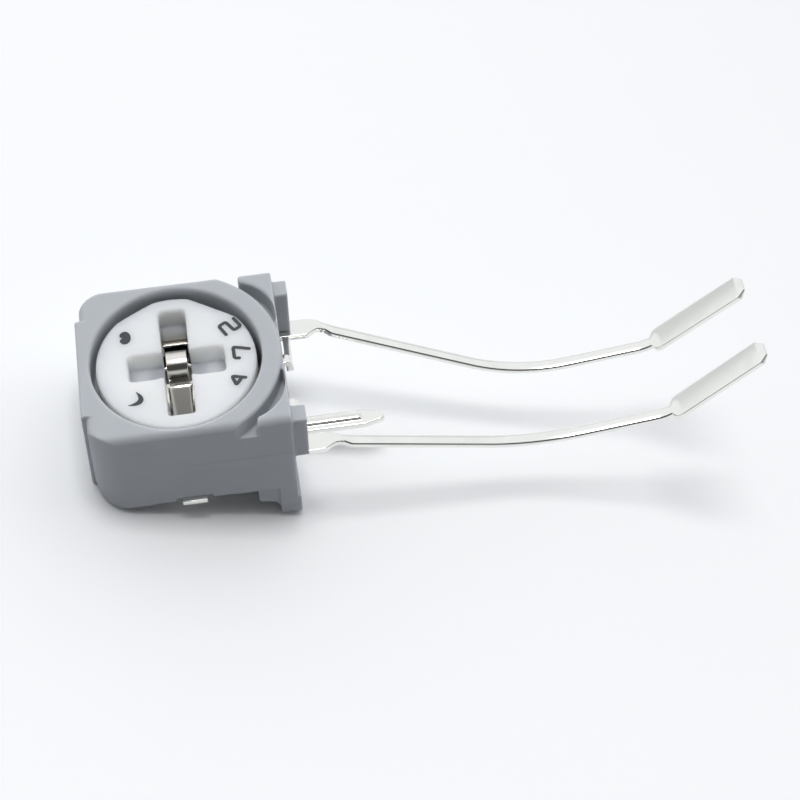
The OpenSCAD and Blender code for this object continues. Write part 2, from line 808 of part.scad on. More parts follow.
module loft(stations) {
    rings = [for (s = stations) placed(s)];
    n = len(rings[0]);
    m = len(rings);
    polyhedron(
        points = [for (ring = rings, p = ring) p],
        faces = concat(
            [[for (j = [0:n - 1]) j]],
            [[for (j = [n - 1:-1:0]) (m - 1) * n + j]],
            [for (i = [0:m - 2], j = [0:n - 1]) [i * n + j, (i + 1) * n + j, (i + 1) * n + (j + 1) % n]],
            [for (i = [0:m - 2], j = [0:n - 1]) [i * n + j, (i + 1) * n + (j + 1) % n, i * n + (j + 1) % n]]
        )
    );
}

// The formed lead: flat tab, rolled strip with a long gentle knee, then a flattened paddle
module formed_lead() {
    tab = [tab_w, sheet_t, sheet_edge_r];
    rolled = [lead_w, lead_t, lead_edge_r];
    flat = [paddle_w, paddle_t, paddle_edge_r];
    end = [paddle_w - 2 * paddle_taper, paddle_t - 2 * paddle_edge_r, paddle_edge_r];
    root = [web_in, tab_y, tab_z];
    neck = [neck_x, tab_y, tab_z];
    knee = [knee_x, far_pitch / 2, -knee_depth];
    heel = [heel_x, far_pitch / 2, -heel_depth];
    out = [1, 0, 0];
    rise = unit([cos(paddle_angle), -sin(paddle_toe_in), sin(paddle_angle)]);
    wide = heel + rise * (heel_bend + shoulder_l);
    tip = heel + rise * (heel_bend + paddle_l);
    loft(concat(
        [[root, out, tab], [[tab_end, tab_y, tab_z], out, tab]],
        bend(root, neck, knee, neck_bend, 3, [neck_w, sheet_t, sheet_edge_r], rolled),
        bend(neck, knee, heel, knee_bend, 9, rolled, rolled),
        bend(knee, heel, tip, heel_bend, 4, rolled, rolled),
        [
            [wide - rise * shoulder_l / 2, rise, (rolled + 2 * flat) / 3],
            [wide, rise, flat],
            [tip - rise * paddle_chamfer, rise, flat],
            [tip - rise * paddle_edge_r, rise, (flat + 3 * end) / 4],
            [tip, rise, end]
        ]
    ));
}

// Tab and inner arm lie beside the substrate's edge; one finger clinches over it and one under it
module terminal_root() {
    inner = tab_y - tab_w / 2;
    block(seat_x, web_out, inner, tab_y + tab_w / 2, tab_top - sheet_t, tab_top);
    block(web_in, web_out, clinch_y, inner + over, tab_top - sheet_t, tab_top);
    block(web_in, web_out, clinch_y, clinch_y + finger_w, tab_top - sheet_t, film_top + sheet_t);
    block(
        finger_in, web_out, clinch_y, clinch_y + finger_w,
        film_top, film_top + sheet_t
    );
    block(
        web_in, web_out, lower_finger_y, lower_finger_y + finger_w,
        sub_bot - sheet_t, tab_top
    );
    block(
        finger_in, web_out, lower_finger_y, lower_finger_y + finger_w,
        sub_bot - sheet_t, sub_bot
    );
}

module rear_lead() {
    color("#DADAD6") {
        terminal_root();
        formed_lead();
    }
}

module front_lead() {
    mirror([0, 1, 0]) rear_lead();
}

housing();
rotor();
wiper();
substrate();
resistive_track();
track_end_pads();
collector_plate();
rear_lead();
front_lead();
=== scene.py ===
# %% [markdown]
# # A small trimmer potentiometer, dressed for a close-up
#
# The part is 10 mm wide, so the camera sees it as under a macro lens: rounded mould edges, the
# rolled edges of tinned strip and the ink on the dial all show. The solids come from the packed
# frame and stay where they are. This file gives every visible piece its finish, and makes anew
# the pieces whose curves a handful of flat facets can't carry.

# %% Frame
import math

import bmesh
import bpy
import numpy as np
from mathutils import Matrix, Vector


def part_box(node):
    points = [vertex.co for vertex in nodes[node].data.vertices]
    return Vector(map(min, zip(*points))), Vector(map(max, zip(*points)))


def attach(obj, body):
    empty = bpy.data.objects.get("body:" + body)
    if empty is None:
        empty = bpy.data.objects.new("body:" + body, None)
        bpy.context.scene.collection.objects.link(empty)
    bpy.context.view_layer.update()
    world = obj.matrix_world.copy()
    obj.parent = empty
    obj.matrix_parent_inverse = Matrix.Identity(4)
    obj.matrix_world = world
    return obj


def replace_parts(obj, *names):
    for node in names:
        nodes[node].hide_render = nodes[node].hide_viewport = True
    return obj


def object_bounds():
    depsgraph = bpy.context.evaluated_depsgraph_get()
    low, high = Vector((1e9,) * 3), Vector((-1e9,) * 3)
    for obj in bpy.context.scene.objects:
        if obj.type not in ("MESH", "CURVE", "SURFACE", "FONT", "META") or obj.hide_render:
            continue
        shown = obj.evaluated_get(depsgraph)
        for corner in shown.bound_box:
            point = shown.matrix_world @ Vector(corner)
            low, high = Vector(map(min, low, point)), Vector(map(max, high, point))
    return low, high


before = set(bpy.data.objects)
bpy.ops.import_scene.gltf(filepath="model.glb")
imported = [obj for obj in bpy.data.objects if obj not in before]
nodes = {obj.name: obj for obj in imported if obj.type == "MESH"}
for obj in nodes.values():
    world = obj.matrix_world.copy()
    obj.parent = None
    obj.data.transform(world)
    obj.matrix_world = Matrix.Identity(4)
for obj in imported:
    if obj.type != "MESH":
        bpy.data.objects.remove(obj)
cad_box = [list(corner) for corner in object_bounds()]
MM = 0.001
BASE = "housing_body"
DIAL = "rotor_body"
print("frame:", len(nodes), "nodes, box in mm", [[round(v / MM, 2) for v in c] for c in cad_box])

# %% [markdown]
# ## Camera
#
# A macro photograph of a small part is taken with a long lens from a hand's width away. The place
# and the two angles below were found by fitting the dial's circle, the housing's edges and the
# leads to the picture: the camera stands in front and above, turned a little to the right.
# Azimuth turns the view about +Z and elevation tips it up from the horizon.

# %% Camera
camera_place = np.array([2.930, -59.779, 79.127]) * MM
camera_azimuth = math.radians(-9.035)
camera_elevation = math.radians(54.879)
camera_lens_mm = 81.0


def camera_axes(azimuth, elevation):
    """Right, up and back vectors: back points from the object to the camera, right stays level."""
    back = np.array([
        math.sin(azimuth) * math.cos(elevation),
        -math.cos(azimuth) * math.cos(elevation),
        math.sin(elevation),
    ])
    right = np.array([math.cos(azimuth), math.sin(azimuth), 0.0])
    return right, np.cross(back, right), back


def make_camera():
    data = bpy.data.cameras.new("camera")
    data.sensor_width = 36.0
    data.lens = camera_lens_mm
    data.clip_start = 0.005
    data.clip_end = 5.0
    camera = bpy.data.objects.new("camera", data)
    bpy.context.scene.collection.objects.link(camera)
    turn = Matrix(np.array(camera_axes(camera_azimuth, camera_elevation)).T.tolist())
    camera.matrix_world = Matrix.Translation(camera_place.tolist()) @ turn.to_4x4()
    bpy.context.scene.camera = camera


make_camera()
bpy.context.scene.view_settings.view_transform = "Standard"
print("camera at", [round(v / MM, 1) for v in camera_place], "mm")

# %% [markdown]
# ## Colours and nodes
#
# Every colour is written as the sRGB hex value that a colour picker shows. Shaders work in linear
# light, so one function turns it. A second small function adds a shader node, sets its sockets
# and links its inputs, so that a material reads as a list of what it is made of.

# %% Colours and nodes


def linear(code):
    """sRGB hex to linear RGBA: c/12.92 below 0.04045, else ((c + 0.055) / 1.055) ** 2.4."""
    srgb = np.array([int(code[i:i + 2], 16) for i in (1, 3, 5)]) / 255.0
    rgb = np.where(srgb <= 0.04045, srgb / 12.92, ((srgb + 0.055) / 1.055) ** 2.4)
    return (*rgb.tolist(), 1.0)


def add_node(tree, kind, values=(), links=(), **settings):
    """Adds a node of a kind, sets its properties and socket values, and links sockets into it."""
    node = tree.nodes.new(kind)
    for name, value in settings.items():
        setattr(node, name, value)
    for socket, value in dict(values).items():
        node.inputs[socket].default_value = value
    for socket, source in dict(links).items():
        tree.links.new(source, node.inputs[socket])
    return node


def new_material(name):
    """An empty node material and its node tree."""
    material = bpy.data.materials.new(name)
    material.use_nodes = True
    material.node_tree.nodes.clear()
    return material, material.node_tree


def finish_material(tree, shader):
    """Links the last shader to the material's output."""
    add_node(tree, "ShaderNodeOutputMaterial", links={"Surface": shader.outputs[0]})


# %% [markdown]
# ## Ground and light
#
# The picture is a product shot on a white sweep. The part lies on its back and leans on two
# edges: the bottom edge of its plain end and the toe of its foot. So the ground here is a plane
# through those two edges, tilted by some 15 degrees to the part's own frame. To the camera and in
# reflections it is nearly white. It sends less light up to the part than white would, because the
# front of the housing is clearly darker than its top.

# %% Ground
ground_white = linear("#FDFEFF")
ground_bounce = linear("#A2A4A9")
ground_radius = 900 * MM
back_z = -6.72 * MM
end_inset, toe_inset = 0.2 * MM, 0.6 * MM
housing_low, housing_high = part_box("housing")
lean_edge = np.array([cad_box[0][0] + end_inset, 0.0, back_z])
toe_edge = np.array([housing_high[0] - toe_inset, 0.0, housing_low[2]])


def make_ground():
    """A large disc through the two edges that the part leans on."""
    slope = math.atan2(toe_edge[2] - lean_edge[2], toe_edge[0] - lean_edge[0])
    turns = np.linspace(0.0, 2 * math.pi, 96, endpoint=False)
    ring = np.stack([np.cos(turns), np.sin(turns), np.zeros_like(turns)], axis=1) * ground_radius
    tilt = np.array(Matrix.Rotation(-slope, 3, "Y"))
    points = ring @ tilt.T + toe_edge
    mesh = bpy.data.meshes.new("ground")
    mesh.from_pydata(points.tolist(), [], [list(range(len(points)))])
    ground = bpy.data.objects.new("ground", mesh)
    bpy.context.scene.collection.objects.link(ground)
    material, tree = new_material("white sweep board")
    path = add_node(tree, "ShaderNodeLightPath")
    seen = add_node(
        tree, "ShaderNodeMath", operation="MAXIMUM",
        links={0: path.outputs["Is Camera Ray"], 1: path.outputs["Is Glossy Ray"]},
    )
    seen = add_node(
        tree, "ShaderNodeMath", operation="MAXIMUM",
        links={0: seen.outputs[0], 1: path.outputs["Is Transmission Ray"]},
    )
    colour = add_node(
        tree, "ShaderNodeMix", data_type="RGBA",
        values={6: ground_bounce, 7: ground_white}, links={0: seen.outputs[0]},
    )
    finish_material(tree, add_node(tree, "ShaderNodeBsdfDiffuse", links={"Color": colour.outputs[2]}))
    mesh.materials.append(material)
    print("ground slope in degrees", round(math.degrees(slope), 1))


make_ground()

# %% [markdown]
# The bright flat tops of the metal, the black line along each near edge and the pale side faces
# below it say what stood round the part. Seen along the leads, a wide white reflector arched from
# behind to just over the part, with a duller band below its rear edge, and in front of the part
# the room was dark. A ramp over that one angle draws this surround, and a small soft lamp above
# the part gives the narrow dark shadow at the housing's foot.

# %% Light
sky_pale = linear("#F3F5FA")
surround = [
    (-90, 0.55), (-72, 0.49), (-64, 0.06), (-24, 0.06), (-6, 0.97), (62, 0.98), (67, 0.66), (72, 0.66),
    (76, 1.00), (90, 0.98),
]
surround_tint = (0.975, 0.99, 1.012)
lamp_aim = np.array([5.0, 0.0, -4.0]) * MM
lamp_place = (0.03, 0.02, 0.37)
lamp_size = 0.11
lamp_power = 0.50


def make_world():
    """Pale to the camera. To the rest, brightness goes by the angle behind the zenith, atan2(y, z)."""
    world = bpy.data.worlds.new("studio")
    bpy.context.scene.world = world
    world.use_nodes = True
    tree = world.node_tree
    tree.nodes.clear()
    path = add_node(tree, "ShaderNodeLightPath")
    direction = add_node(tree, "ShaderNodeTexCoord")
    part = add_node(tree, "ShaderNodeSeparateXYZ", links={0: direction.outputs["Generated"]})
    angle = add_node(
        tree, "ShaderNodeMath", operation="ARCTAN2", links={0: part.outputs["Y"], 1: part.outputs["Z"]},
    )
    place = add_node(
        tree, "ShaderNodeMapRange", links={"Value": angle.outputs[0]},
        values={"From Min": -math.pi / 2, "From Max": math.pi / 2},
    )
    shade = add_node(tree, "ShaderNodeValToRGB", links={0: place.outputs[0]})
    ramp = shade.color_ramp
    for index, (degrees, level) in enumerate(surround):
        spot = (degrees + 90) / 180
        stop = ramp.elements[index] if index < 2 else ramp.elements.new(spot)
        stop.position = spot
        stop.color = (*(level * tint for tint in surround_tint), 1.0)
    seen = add_node(
        tree, "ShaderNodeMix", data_type="RGBA",
        values={7: sky_pale}, links={0: path.outputs["Is Camera Ray"], 6: shade.outputs[0]},
    )
    background = add_node(tree, "ShaderNodeBackground", links={"Color": seen.outputs[2]})
    add_node(tree, "ShaderNodeOutputWorld", links={"Surface": background.outputs[0]})


def make_lamp(name, place, power, size):
    """A square soft lamp that looks at the middle of the housing."""
    data = bpy.data.lights.new(name, "AREA")
    data.energy = power
    data.size = size
    lamp = bpy.data.objects.new(name, data)
    bpy.context.scene.collection.objects.link(lamp)
    back = (np.array(place) - lamp_aim) / np.linalg.norm(np.array(place) - lamp_aim)
    side = np.cross([0.0, 1.0, 0.0], back)
    side /= np.linalg.norm(side)
    turn = Matrix(np.array([side, np.cross(back, side), back]).T.tolist())
    lamp.matrix_world = Matrix.Translation(place) @ turn.to_4x4()


make_world()
make_lamp("softbox", lamp_place, lamp_power, lamp_size)
print("surround in", len(surround), "steps; lamp of", lamp_power, "W")

# %% [markdown]
# ## Surfaces from formulas
#
# Most of the metal is strip: one section carried along a path. `surface` turns grids of points
# into a mesh: the rows of a grid are rings, its columns go round each ring. `sweep` draws a
# section's outline in the plane across the path, and `strip` sweeps a rounded rectangle whose two
# half widths, height and edge radius may change from ring to ring. All of it is array arithmetic.

# %% Surfaces from formulas


def add_piece(name, mesh, body):
    """Links a mesh as a piece that rides on a body; large faces decide how its normals lean."""
    piece = bpy.data.objects.new(name, mesh)
    bpy.context.scene.collection.objects.link(piece)
    normals = piece.modifiers.new("flat flats", "WEIGHTED_NORMAL")
    normals.weight = 60
    normals.keep_sharp = True
    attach(piece, body)
    print(name, "has", len(mesh.polygons), "faces")
    return piece


def grid_faces(rows, columns, offset=0, closed=False):
    """Quads between the rings i and i + 1 and the columns j and j + 1; both counts may wrap."""
    i, j = np.meshgrid(np.arange(rows if closed else rows - 1), np.arange(columns), indexing="ij")
    k, below = (j + 1) % columns, (i + 1) % rows
    corners = [i * columns + j, i * columns + k, below * columns + k, below * columns + j]
    return np.stack(corners, axis=-1).reshape(-1, 4) + offset


def surface(name, material, tubes=(), hoops=()):
    """A mesh of tubes with flat caps and of hoops whose last ring meets the first, in metres."""
    points, faces, offset = [], [], 0
    for rings, closed in [(tube, False) for tube in tubes] + [(hoop, True) for hoop in hoops]:
        rows, columns = rings.shape[:2]
        points.append(rings.reshape(-1, 3))
        faces += grid_faces(rows, columns, offset, closed).tolist()
        if not closed:
            last = offset + (rows - 1) * columns
            faces.append(list(range(offset + columns - 1, offset - 1, -1)))
            faces.append(list(range(last, last + columns)))
        offset += rows * columns
    mesh = bpy.data.meshes.new(name)
    mesh.from_pydata((np.concatenate(points) * MM).tolist(), [], faces)
    work = bmesh.new()
    work.from_mesh(mesh)
    bmesh.ops.recalc_face_normals(work, faces=work.faces)
    work.to_mesh(mesh)
    work.free()
    mesh.materials.append(material)
    mesh.shade_smooth()
    mesh.set_sharp_from_angle(angle=math.radians(50))
    return mesh


def unit(vector):
    return np.asarray(vector, float) / np.linalg.norm(vector)


def sweep(path, across, sections):
    """Points = path + x * across + y * up, with along = the path's direction, up = along x across."""
    along = np.gradient(path, axis=0)
    along /= np.linalg.norm(along, axis=1, keepdims=True)
    across = np.broadcast_to(np.asarray(across, float), path.shape)
    across = across - along * np.sum(across * along, axis=1, keepdims=True)
    across /= np.linalg.norm(across, axis=1, keepdims=True)
    up = np.cross(along, across)
    return path[:, None] + sections[..., :1] * across[:, None] + sections[..., 1:] * up[:, None]


def crowned_strip(path, across, left, right, height, edge, crown):
    """As strip, with a top that drops by crown * (x / half)^2 and meets its corner arcs smoothly."""
    rows = len(path)
    left, right, height, edge, crown = (
        np.broadcast_to(v, rows).astype(float)[:, None] for v in (left, right, height, edge, crown)
    )
    half = (left + right) / 2
    x = np.linspace(1.0, -1.0, 17) * (half - edge)
    top = height / 2 - crown * (x / half) ** 2
    tilt = np.arctan(2 * crown * (half - edge) / half ** 2)
    centre_x = half - edge - edge * np.sin(tilt)
    centre_y = top[:, :1] - edge * np.cos(tilt)
    turn = np.linspace(0.0, 1.0, 7)[:-1] * (math.pi / 2 - tilt)
    arc_x, arc_y = centre_x + edge * np.cos(turn), centre_y + edge * np.sin(turn)
    low = np.linspace(0.0, math.pi / 2, 7)
    low_x, low_y = centre_x + edge * np.cos(low), -height / 2 + edge - edge * np.sin(low)
    x = np.concatenate([arc_x, x, -arc_x[:, ::-1], -low_x, low_x[:, ::-1]], axis=1)
    y = np.concatenate([arc_y, top, arc_y[:, ::-1], low_y, low_y[:, ::-1]], axis=1)
    return sweep(path, across, np.stack([x + (left - right) / 2, y], axis=-1))


def strip(path, across, left, right, height, edge, corner_points=6):
    """Rounded rectangles from -right to +left: corner centres plus arcs of the edge radius."""
    rows = len(path)
    left, right, height, edge = (np.broadcast_to(v, rows).astype(float) for v in (left, right, height, edge))
    turn = (np.linspace(0.0, math.pi / 2, corner_points) + np.arange(4)[:, None] * math.pi / 2).ravel()
    sign_x = np.repeat([1, -1, -1, 1], corner_points)
    sign_y = np.repeat([1, 1, -1, -1], corner_points)
    half = (left + right) / 2
    x = ((left - right) / 2)[:, None] + sign_x * (half - edge)[:, None] + edge[:, None] * np.cos(turn)
    y = sign_y * (height / 2 - edge)[:, None] + edge[:, None] * np.sin(turn)
    return sweep(path, across, np.stack([x, y], axis=-1))


def even_steps(points, step):
    """The same line with points at even distances, and each point's distance from the start."""
    gaps = np.linalg.norm(np.diff(points, axis=0), axis=1)
    points = points[np.concatenate([[True], gaps > 1e-9])]
    length = np.concatenate([[0.0], np.cumsum(gaps[gaps > 1e-9])])
    even = np.linspace(0.0, length[-1], max(2, int(round(length[-1] / step)) + 1))
    return np.stack([np.interp(even, length, points[:, k]) for k in range(3)], axis=1), even


def bent_path(corners, reaches, step):
    """Straight legs and, from a reach before each corner v to a reach after it, a parabola:
    (1 - t)^2 p + 2 t (1 - t) v + t^2 q."""
    corners = np.asarray(corners, float)
    t = np.linspace(0.0, 1.0, 33)[:, None]
    runs = [corners[:1]]
    for before, v, after, reach in zip(corners[:-2], corners[1:-1], corners[2:], reaches):
        p, q = v + unit(before - v) * reach, v + unit(after - v) * reach
        runs.append((1 - t) ** 2 * p + 2 * t * (1 - t) * v + t ** 2 * q)
    runs.append(corners[-1:])
    return even_steps(np.concatenate(runs), step)


def arc(centre, radius, start, end, count=25):
    """Points of an arc in a plane: centre + radius * (cos, sin), from start to end in degrees."""
    turn = np.radians(np.linspace(start, end, count))
    return np.asarray(centre) + radius * np.stack([np.cos(turn), np.sin(turn)], axis=1)


def eased(place, knots, blur=5):
    """Straight lines between (place, value) knots, with the corners rounded by a running mean."""
    where, value = np.array(knots, float).T
    line = np.interp(place, where, value)
    padded = np.pad(line, blur // 2, mode="edge")
    return np.convolve(padded, np.ones(blur) / blur, mode="valid")


# %% [markdown]
# ## Moulded plastics
#
# The picture shows plastic and not which one, so the usual kinds are assumed. The housing is taken
# as PBT with glass fibre from a spark-eroded tool: a cool grey with a dull, very fine grain. The
# rotor is taken as unfilled white PBT. Both are a little translucent: light that enters a lit top
# edge leaks out of the wall below it, so shadows inside the slot turn warm and edges look soft.
# The grain is noise in the object's own millimetres, and a slow noise shifts the
# tone a little, as flow marks do. The floor of the slot's blind end is painted darker with depth and
# towards the window: painted shade in that deep recess.

# %% Moulded plastics
# Where the painted shade on the slot's blind floor lies: its depth range and its span towards the window, in
# mm.
shade_top_z, shade_full_z = -0.8, -1.85
shade_far_y, shade_near_y, window_end_y = 3.7, 2.5, 2.2


def add_noise(tree, place, size_mm, detail, roughness=0.5):
    """Noise with features of a size in the object's own millimetres."""
    return add_node(
        tree, "ShaderNodeTexNoise", links={"Vector": place},
        values={"Scale": 1 / (size_mm * MM), "Detail": detail, "Roughness": roughness},
    )


def add_tones(tree, colour, shade, noise):
    """Two colours, mixed by a noise."""
    return add_node(
        tree, "ShaderNodeMix", data_type="RGBA",
        values={6: linear(colour), 7: linear(shade)}, links={0: noise.outputs["Fac"]},
    )


def add_relief(tree, noise, strength, depth_mm):
    """A bump of a depth in millimetres that follows a noise."""
    return add_node(
        tree, "ShaderNodeBump", links={"Height": noise.outputs["Fac"]},
        values={"Strength": strength, "Distance": depth_mm * MM},
    )


def painted_recess_shade(tree, place, tone):
    """Painted shade: darkens a tone on the slot's blind floor, with depth and nearer the window."""
    part = add_node(tree, "ShaderNodeSeparateXYZ", links={0: place})
    depth = add_node(
        tree, "ShaderNodeMapRange", links={"Value": part.outputs["Z"]},
        values={"From Min": shade_top_z * MM, "From Max": shade_full_z * MM},
    )
    along = add_node(
        tree, "ShaderNodeMapRange", links={"Value": part.outputs["Y"]},
        values={"From Min": shade_far_y * MM, "From Max": shade_near_y * MM},
    )
    behind = add_node(
        tree, "ShaderNodeMath", operation="GREATER_THAN", links={0: part.outputs["Y"]},
        values={1: window_end_y * MM},
    )
    shade_share = add_node(
        tree, "ShaderNodeMath", operation="MULTIPLY", links={0: depth.outputs[0], 1: along.outputs[0]},
    )
    shade_share = add_node(
        tree, "ShaderNodeMath", operation="MULTIPLY", links={0: shade_share.outputs[0], 1: behind.outputs[0]},
    )
    # Mixes the tone towards a dark brown-grey: this is painted shade, not a real coat.
    return add_node(
        tree, "ShaderNodeMix", data_type="RGBA", values={7: linear("#6B675E")},
        links={0: shade_share.outputs[0], 6: tone.outputs[2]},
    )


def moulded_plastic(
    name, colour, shade, roughness, grain_mm, grain_depth, glow, glow_mm, glow_tint, recess_shade=False,
):
    """Plastic from a textured mould: one noise for tone, one for grain, some light inside."""
    material, tree = new_material(name)
    place = add_node(tree, "ShaderNodeTexCoord").outputs["Object"]
    tone = add_tones(tree, colour, shade, add_noise(tree, place, 2.4, 3.0, 0.55))
    # Painted shade on the floor of the slot's blind end.
    if recess_shade:
        tone = painted_recess_shade(tree, place, tone)
    relief = add_relief(tree, add_noise(tree, place, grain_mm, 4.0, 0.6), 0.5, grain_depth)
    shader = add_node(
        tree, "ShaderNodeBsdfPrincipled",
        values={
            "Roughness": roughness, "IOR": 1.5, "Subsurface Weight": glow,
            "Subsurface Radius": glow_tint, "Subsurface Scale": glow_mm * MM,
        },
        links={"Base Color": tone.outputs[2], "Normal": relief.outputs[0]},
    )
    finish_material(tree, shader)
    return material


housing_plastic = moulded_plastic(
    "PBT, glass filled, grey", "#BDC0C4", "#B3B8BD", 0.58, 0.09, 0.006, 0.8, 0.45, (1.0, 0.95, 0.9),
)
# The rotor's white gets painted shade on the floor of its slot's blind end.
rotor_plastic = moulded_plastic(
    "PBT, unfilled, white", "#F0F1F1", "#EBEDED", 0.45, 0.12, 0.004, 1.0, 1.7, (1.0, 0.94, 0.82),
    recess_shade=True,
)

# %% [markdown]
# ## Metals
#
# The terminals are taken as brass strip with a hot tin finish: bright, slightly milky, with faint
# draw marks along the strip. The wiper is taken as nickel silver, polished by its own stamping. A
# metal shows
# its surroundings more than itself, so its base colour is light and its roughness does the work.

# %% Metals


def drawn_metal(name, colour, shade, roughness, stretch):
    """Bright metal whose roughness and relief vary in streaks, stretched along one axis."""
    material, tree = new_material(name)
    place = add_node(tree, "ShaderNodeTexCoord").outputs["Object"]
    streak = add_node(tree, "ShaderNodeMapping", values={"Scale": stretch}, links={"Vector": place})
    cloud = add_noise(tree, place, 0.9, 2.0)
    tone = add_tones(tree, colour, shade, cloud)
    polish = add_node(
        tree, "ShaderNodeMapRange", links={"Value": cloud.outputs["Fac"]},
        values={"To Min": roughness * 0.75, "To Max": roughness * 1.35},
    )
    relief = add_relief(tree, add_noise(tree, streak.outputs[0], 0.12, 3.0, 0.6), 0.35, 0.002)
    shader = add_node(
        tree, "ShaderNodeBsdfPrincipled", values={"Metallic": 1.0},
        links={
            "Base Color": tone.outputs[2], "Roughness": polish.outputs[0], "Normal": relief.outputs[0],
        },
    )
    finish_material(tree, shader)
    return material


tinned_brass = drawn_metal("brass, hot tinned", "#F5F5F1", "#EAEAE5", 0.14, (0.08, 1.0, 1.0))
nickel_silver = drawn_metal("nickel silver, polished", "#EFECE6", "#E2DED6", 0.13, (1.0, 0.1, 0.3))

# %% [markdown]
# ## Board, track and print
#
# These hide inside the part, apart from the marks, so they get what such parts usually have. The
# substrate is phenolic laminate, brown and dull. Its track is carbon film, black with a soft
# sheen, and the pads under the clinched fingers are silver paint. The dial's marks are pad-printed
# in dark grey ink, two hundredths of a millimetre thick, and a little worn.

# %% Board, track and print


def coated_surface(name, colour, shade, roughness, grain_mm, metallic=0.0):
    """A coat with mottled colour: one noise picks between two tones and lifts the surface."""
    material, tree = new_material(name)
    place = add_node(tree, "ShaderNodeTexCoord").outputs["Object"]
    mottle = add_noise(tree, place, grain_mm, 4.0, 0.65)
    tone = add_tones(tree, colour, shade, mottle)
    relief = add_relief(tree, mottle, 0.3, 0.004)
    shader = add_node(
        tree, "ShaderNodeBsdfPrincipled", values={"Roughness": roughness, "Metallic": metallic},
        links={"Base Color": tone.outputs[2], "Normal": relief.outputs[0]},
    )
    finish_material(tree, shader)
    return material


laminate = coated_surface("phenolic paper laminate", "#8A6A4A", "#6E5238", 0.55, 0.25)
carbon_film = coated_surface("carbon resistive film", "#2A2A2C", "#1C1C1E", 0.42, 0.1)
silver_paint = coated_surface("fired silver paint", "#B9B9B4", "#A3A39E", 0.5, 0.08, 0.6)
print_ink = coated_surface("pad-print ink, dark grey", "#26292E", "#484C52", 0.55, 0.12)

# %% [markdown]
# ## Housing and rotor
#
# Both solids have the right form already, but a moulding has no sharp edge: its tool was cut with
# a round tip, plastic doesn't fill a knife edge, and corners wear. A Bevel would round the edges
# one by one, and it trips over the short edges where arcs meet. So a copy of each solid is
# remeshed into small even cells, and a Smooth pass lets every edge, outer and inner, sink to a
# radius of about a tenth of a millimetre while flat areas stay where they are.
#
# The even cells are also fine enough to work on with numpy: the tool's split line is pressed in
# as a groove, and a weight picks the lip of the hollow posts, which is far softer than the rest.
# Decimate then takes back the cells that the flats don't need.

# %% Fine cells


def fine_cells(node, cell_mm, rounds):
    """Solid -> merged copy -> voxels of a size -> smoothed edges, as a draft object."""
    source = bpy.data.meshes.new(node + "_source")
    work = bmesh.new()
    work.from_mesh(nodes[node].data)
    bmesh.ops.remove_doubles(work, verts=work.verts, dist=1e-7)
    work.to_mesh(source)
    work.free()
    draft = bpy.data.objects.new(node + "_draft", source)
    bpy.context.scene.collection.objects.link(draft)
    cells = draft.modifiers.new("cells", "REMESH")
    cells.mode = "VOXEL"
    cells.voxel_size = cell_mm * MM
    smooth = draft.modifiers.new("smooth", "SMOOTH")
    smooth.factor = 0.5
    smooth.iterations = rounds
    bake_modifiers(draft)
    return draft


def bake_modifiers(draft):
    """Replaces a draft's mesh by what its modifiers make of it."""
    graph = bpy.context.evaluated_depsgraph_get()
    mesh = bpy.data.meshes.new_from_object(draft.evaluated_get(graph))
    draft.modifiers.clear()
    draft.data = mesh


def vertex_places(mesh):
    """Vertex coordinates as an array (count, 3), in millimetres."""
    flat = np.empty(len(mesh.vertices) * 3)
    mesh.vertices.foreach_get("co", flat)
    return flat.reshape(-1, 3) / MM


def finished_copy(draft, node, name, material, body, kept_share):
    """Thins a draft's cells and hands it over as the piece that replaces the node."""
    fewer = draft.modifiers.new("fewer", "DECIMATE")
    fewer.ratio = kept_share
    bake_modifiers(draft)
    mesh = draft.data
    mesh.name = name
    bpy.data.objects.remove(draft)
    mesh.materials.clear()
    mesh.materials.append(material)
    mesh.shade_smooth()
    piece = add_piece(name, mesh, body)
    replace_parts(piece, node)


# %% Housing
split_z = -3.2
split_groove = 0.03
split_sharp = 0.05
post_hollow_r = 2.58
post_hollow_at = 3.86
post_hollow_angle = math.radians(34.6)
ring_outer_r = 5.82
lip_reach = 0.55
lip_end_x = 5.62
flat_side_y = 4.9


def press_split_line(mesh):
    """Inward shift = depth * exp(-((z - split) / width)^2), faint at the plain end."""
    points = vertex_places(mesh)
    side = np.sign(points[:, 1])
    strength = np.clip((points[:, 0] + 3.0) / 5.0, 0.25, 1.0) * (np.abs(points[:, 1]) > flat_side_y)
    depth = split_groove * strength * np.exp(-((points[:, 2] - split_z) / split_sharp) ** 2)
    points[:, 1] -= side * depth
    mesh.vertices.foreach_set("co", (points * MM).ravel())


def smooth_more(draft, weight, rounds):
    """Runs more Smooth rounds where the weight asks for them."""
    group = draft.vertex_groups.new(name="soft")
    for index in np.flatnonzero(weight > 0.02).tolist():
        group.add([index], float(weight[index]), "REPLACE")
    smooth = draft.modifiers.new("softer edges", "SMOOTH")
    smooth.factor = 0.5
    smooth.iterations = rounds
    smooth.vertex_group = group.name
    bake_modifiers(draft)
    print("softened vertices", int(np.count_nonzero(weight > 0.02)))


def post_lip_weight(points):
    """1 on the hollow posts' upper edge, a circle at the ring's level, and 0 beyond the reach."""
    centre = post_hollow_at * np.array([math.cos(post_hollow_angle), math.sin(post_hollow_angle)])
    out = np.hypot(points[:, 0] - centre[0], np.abs(points[:, 1]) - centre[1]) - post_hollow_r
    away = np.hypot(out, points[:, 2])
    weight = np.clip(1.3 * (1 - away / lip_reach), 0.0, 1.0)
    weight *= np.clip((np.hypot(points[:, 0], points[:, 1]) - ring_outer_r - 0.1) / 0.15, 0.0, 1.0)
    return weight * np.clip((lip_end_x - points[:, 0]) / 0.25, 0.0, 1.0)


housing_draft = fine_cells("housing", 0.055, 6)
press_split_line(housing_draft.data)
smooth_more(housing_draft, post_lip_weight(vertex_places(housing_draft.data)), 60)
finished_copy(housing_draft, "housing", "moulded_housing", housing_plastic, BASE, 0.27)

